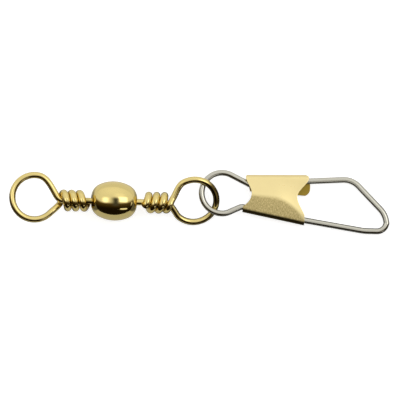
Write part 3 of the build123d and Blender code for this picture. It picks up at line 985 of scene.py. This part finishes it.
# %% The room
CLOTH = 0.78  # how bright the cloth looks
CLOTH_EDGE, EDGE_GLOW = (-0.17, 0.15), (-0.60, -0.12)  # its soft edge, and the glow before it
CLOTH_REACH = 0.21  # how far it comes past overhead towards the front
CLOTH_SAG = 0.18  # and how far its front edge draws back at the two sides
GLOOM = (0.010, 0.065)  # the dark side, far from the cloth and close to it
WARM, WARM_BELOW = (1.0, 0.62, 0.12), 0.55  # the dark of the room is brown, not black
PANELS = (
    (5, 62, 40, 40, 40, 0.14),  # the middle of the cloth, lit from behind
    (-23, 4, 8, 14, 9, 1.15),  # left lamp
    (37, 10, 15, 14, 5, 1.25),  # right lamp
    (27, 32, 16, 12, 10, 0.18),  # and its spill
    (39, -48, 11, 3.2, 2.5, 1.4),  # a strip window on the dark side
)

world = bpy.data.worlds.new("studio")
bpy.context.scene.world = world
world.use_nodes = True
tree = world.node_tree
place = fed(tree, "ShaderNodeTexCoord", "Generated")
sideways = fed(tree, "ShaderNodeSeparateXYZ", "X", {"Vector": place})
sag = math_node(tree, "MULTIPLY", math_node(tree, "POWER", sideways, 4.0), -CLOTH_SAG)
edge = math_node(tree, "ADD", vector_node(tree, "DOT_PRODUCT", place, (0, 1, CLOTH_REACH)), sag)
cloth = ramp(tree, edge, *CLOTH_EDGE, 0.0, CLOTH)
gloom = ramp(tree, edge, *EDGE_GLOW, *GLOOM)
room = math_node(tree, "ADD", cloth, gloom)
for bright in PANELS:
    room = math_node(tree, "ADD", room, panel(tree, place, *bright))
seen = math_node(tree, "MAXIMUM", room, fed(tree, "ShaderNodeLightPath", "Is Camera Ray"))
tint = mix_node(tree, ramp(tree, seen, 0.0, WARM_BELOW, 0.0, 1.0, "LINEAR"), WARM, (1, 1, 1))
backdrop = tree.nodes["Background"].inputs
feed(tree, backdrop["Color"], tint)
feed(tree, backdrop["Strength"], seen)
print("world nodes:", len(tree.nodes))

# %% [markdown]
# ## Two small cards
# Close to so small a part, a card of a few millimetres works as a large flag does in a studio. A
# black one over the barrel draws the dark band that shows it is round. A white one in front of the
# snap lets its wires and the sleeve stay light past their crests. Both have soft edges, and only
# reflections see them: they light nothing and throw no shadow.

# %% Cards
def rectangle(name, half_width, half_depth):
    """A level rectangle about its own origin, in metres, facing up."""
    mesh = bpy.data.meshes.new(name)
    corners = [(x * half_width, y * half_depth, 0) for x, y in ((-1, -1), (1, -1), (1, 1), (-1, 1))]
    mesh.from_pydata(corners, [], [(0, 1, 2, 3)])
    return added(name, mesh)


def soft_card(name, centre, half_width, half_depth, blur, level):
    """A level card with soft edges over a place; sizes in millimetres, level 0 is black."""
    card = rectangle(name, (half_width + blur) * MM, (half_depth + blur) * MM)
    card.location = Vector(centre) * MM
    paint, tree, _ = new_material(name)
    place = fed(tree, "ShaderNodeTexCoord", "Object")
    sides = []
    for label, half in (("X", half_width), ("Y", half_depth)):
        off = math_node(tree, "ABSOLUTE", fed(tree, "ShaderNodeSeparateXYZ", label, {"Vector": place}))
        sides.append(ramp(tree, off, (half - blur) * MM, (half + blur) * MM, 1.0, 0.0))
    share = math_node(tree, "MULTIPLY", *sides)
    clear = fed(tree, "ShaderNodeBsdfTransparent", "BSDF")
    glow = fed(tree, "ShaderNodeEmission", "Emission", {"Color": (1, 1, 1), "Strength": level})
    blend = fed(tree, "ShaderNodeMixShader", "Shader", {"Fac": share, 1: clear, 2: glow})
    feed(tree, tree.nodes["Material Output"].inputs["Surface"], blend)
    card.data.materials.append(paint)
    for sight in ("camera", "diffuse", "transmission", "volume_scatter", "shadow"):
        setattr(card, "visible_" + sight, False)


barrel_at = Vector(swivel_centre) / MM
snap_at = lay_snap @ Vector((9.0, 0.0, 0.0)) / MM
soft_card("black_card", barrel_at + Vector((2.9, -1.2, 15)), half_width=3.0, half_depth=6.2,
          blur=2.6, level=0.06)
soft_card("white_card", snap_at + Vector((3.5, -5.1, 8)), half_width=10.5, half_depth=3.0,
          blur=0.9, level=0.72)
print("cards over", [round(value, 1) for value in snap_at])

# %% [markdown]
# ## The table
# A plain pale table. What the camera sees of it is white, and it keeps a faint shadow. What metal
# mirrors of it is painted by place: a painted pool of light behind the part and round the shell,
# and a painted shadow in front of the wires.

# %% Floor
TABLE_GREY, MIRRORED_GREY = (0.62, 0.62, 0.61), (0.12, 0.12, 0.12)
CAMERA_GLOW = 0.79  # so that the table comes out white
FRONT_GLOW, BACK_GLOW = 0.04, 0.70  # painted into reflections: shadow at the part's middle, light behind it
SHELL_GLOW = 0.40  # and a painted pool of light in front of the shell
BRIGHTEST_FROM = 5 * MM  # this far behind the middle
SHELL_INNER, SHELL_OUTER = 3.2 * MM, 6 * MM  # the shell's glow fades out between these
SHELL_WIDENS, SHELL_ENDS = 2.5 * MM, 4 * MM  # it spreads this far forward, and ends this far back

floor = rectangle("floor", 3, 3)
table, tree, shader = new_material("pale_table")
shader["Roughness"].default_value = 0.9
shader["Specular IOR Level"].default_value = 0.0
feed(tree, shader["Emission Color"], (1, 1, 1))
ray = tree.nodes.new("ShaderNodeLightPath").outputs
place = fed(tree, "ShaderNodeTexCoord", "Object")
x, y = (fed(tree, "ShaderNodeSeparateXYZ", label, {"Vector": place}) for label in ("X", "Y"))
feed(tree, shader["Base Color"], mix_node(tree, ray["Is Glossy Ray"], TABLE_GREY, MIRRORED_GREY))
# painted light and shadow in what metal mirrors of the table, set by place
mirrored = ramp(tree, y, 0, BRIGHTEST_FROM, FRONT_GLOW, BACK_GLOW)
from_shell = math_node(tree, "ABSOLUTE", math_node(tree, "SUBTRACT", x, swivel_centre[0]))
in_front = math_node(tree, "MINIMUM", math_node(tree, "ADD", y, SHELL_WIDENS), 0.0)
from_shell = math_node(tree, "ADD", from_shell, in_front)
round_shell = ramp(tree, from_shell, SHELL_INNER, SHELL_OUTER, SHELL_GLOW, 0.0)
front_only = ramp(tree, y, 0, SHELL_ENDS, 1.0, 0.0)
mirrored = math_node(tree, "ADD", mirrored, math_node(tree, "MULTIPLY", round_shell, front_only))
glow = math_node(tree, "MULTIPLY", ray["Is Glossy Ray"], mirrored)
glow = math_node(tree, "MAXIMUM", glow, ray["Is Transmission Ray"])
to_camera = math_node(tree, "MULTIPLY", ray["Is Camera Ray"], CAMERA_GLOW)
feed(tree, shader["Emission Strength"], math_node(tree, "MAXIMUM", glow, to_camera))
floor.data.materials.append(table)
print("table nodes:", len(tree.nodes))

# %% [markdown]
# ## Camera
# The part lies on the table and is looked at straight down through a long lens, turned a degree
# so that the snap's fold runs level in the picture.

# %% Camera
VIEW_WIDTH = 52.71 * MM
DISTANCE = 0.8
VIEW_OFFSET = Vector((11.286, 0.489)) * MM  # the picture's centre, from the swivel's
view_centre = Vector(swivel_centre[:2]) + VIEW_OFFSET
lens = bpy.data.cameras.new("camera")
lens.sensor_width = 36.0
lens.lens = lens.sensor_width * DISTANCE / VIEW_WIDTH
camera = added("camera", lens)
camera.location = (view_centre.x, view_centre.y, DISTANCE)
camera.rotation_euler = (0, 0, SNAP_TURN)
bpy.context.scene.camera = camera
bpy.context.scene.view_settings.view_transform = "Standard"
print("lens:", round(lens.lens), "mm")
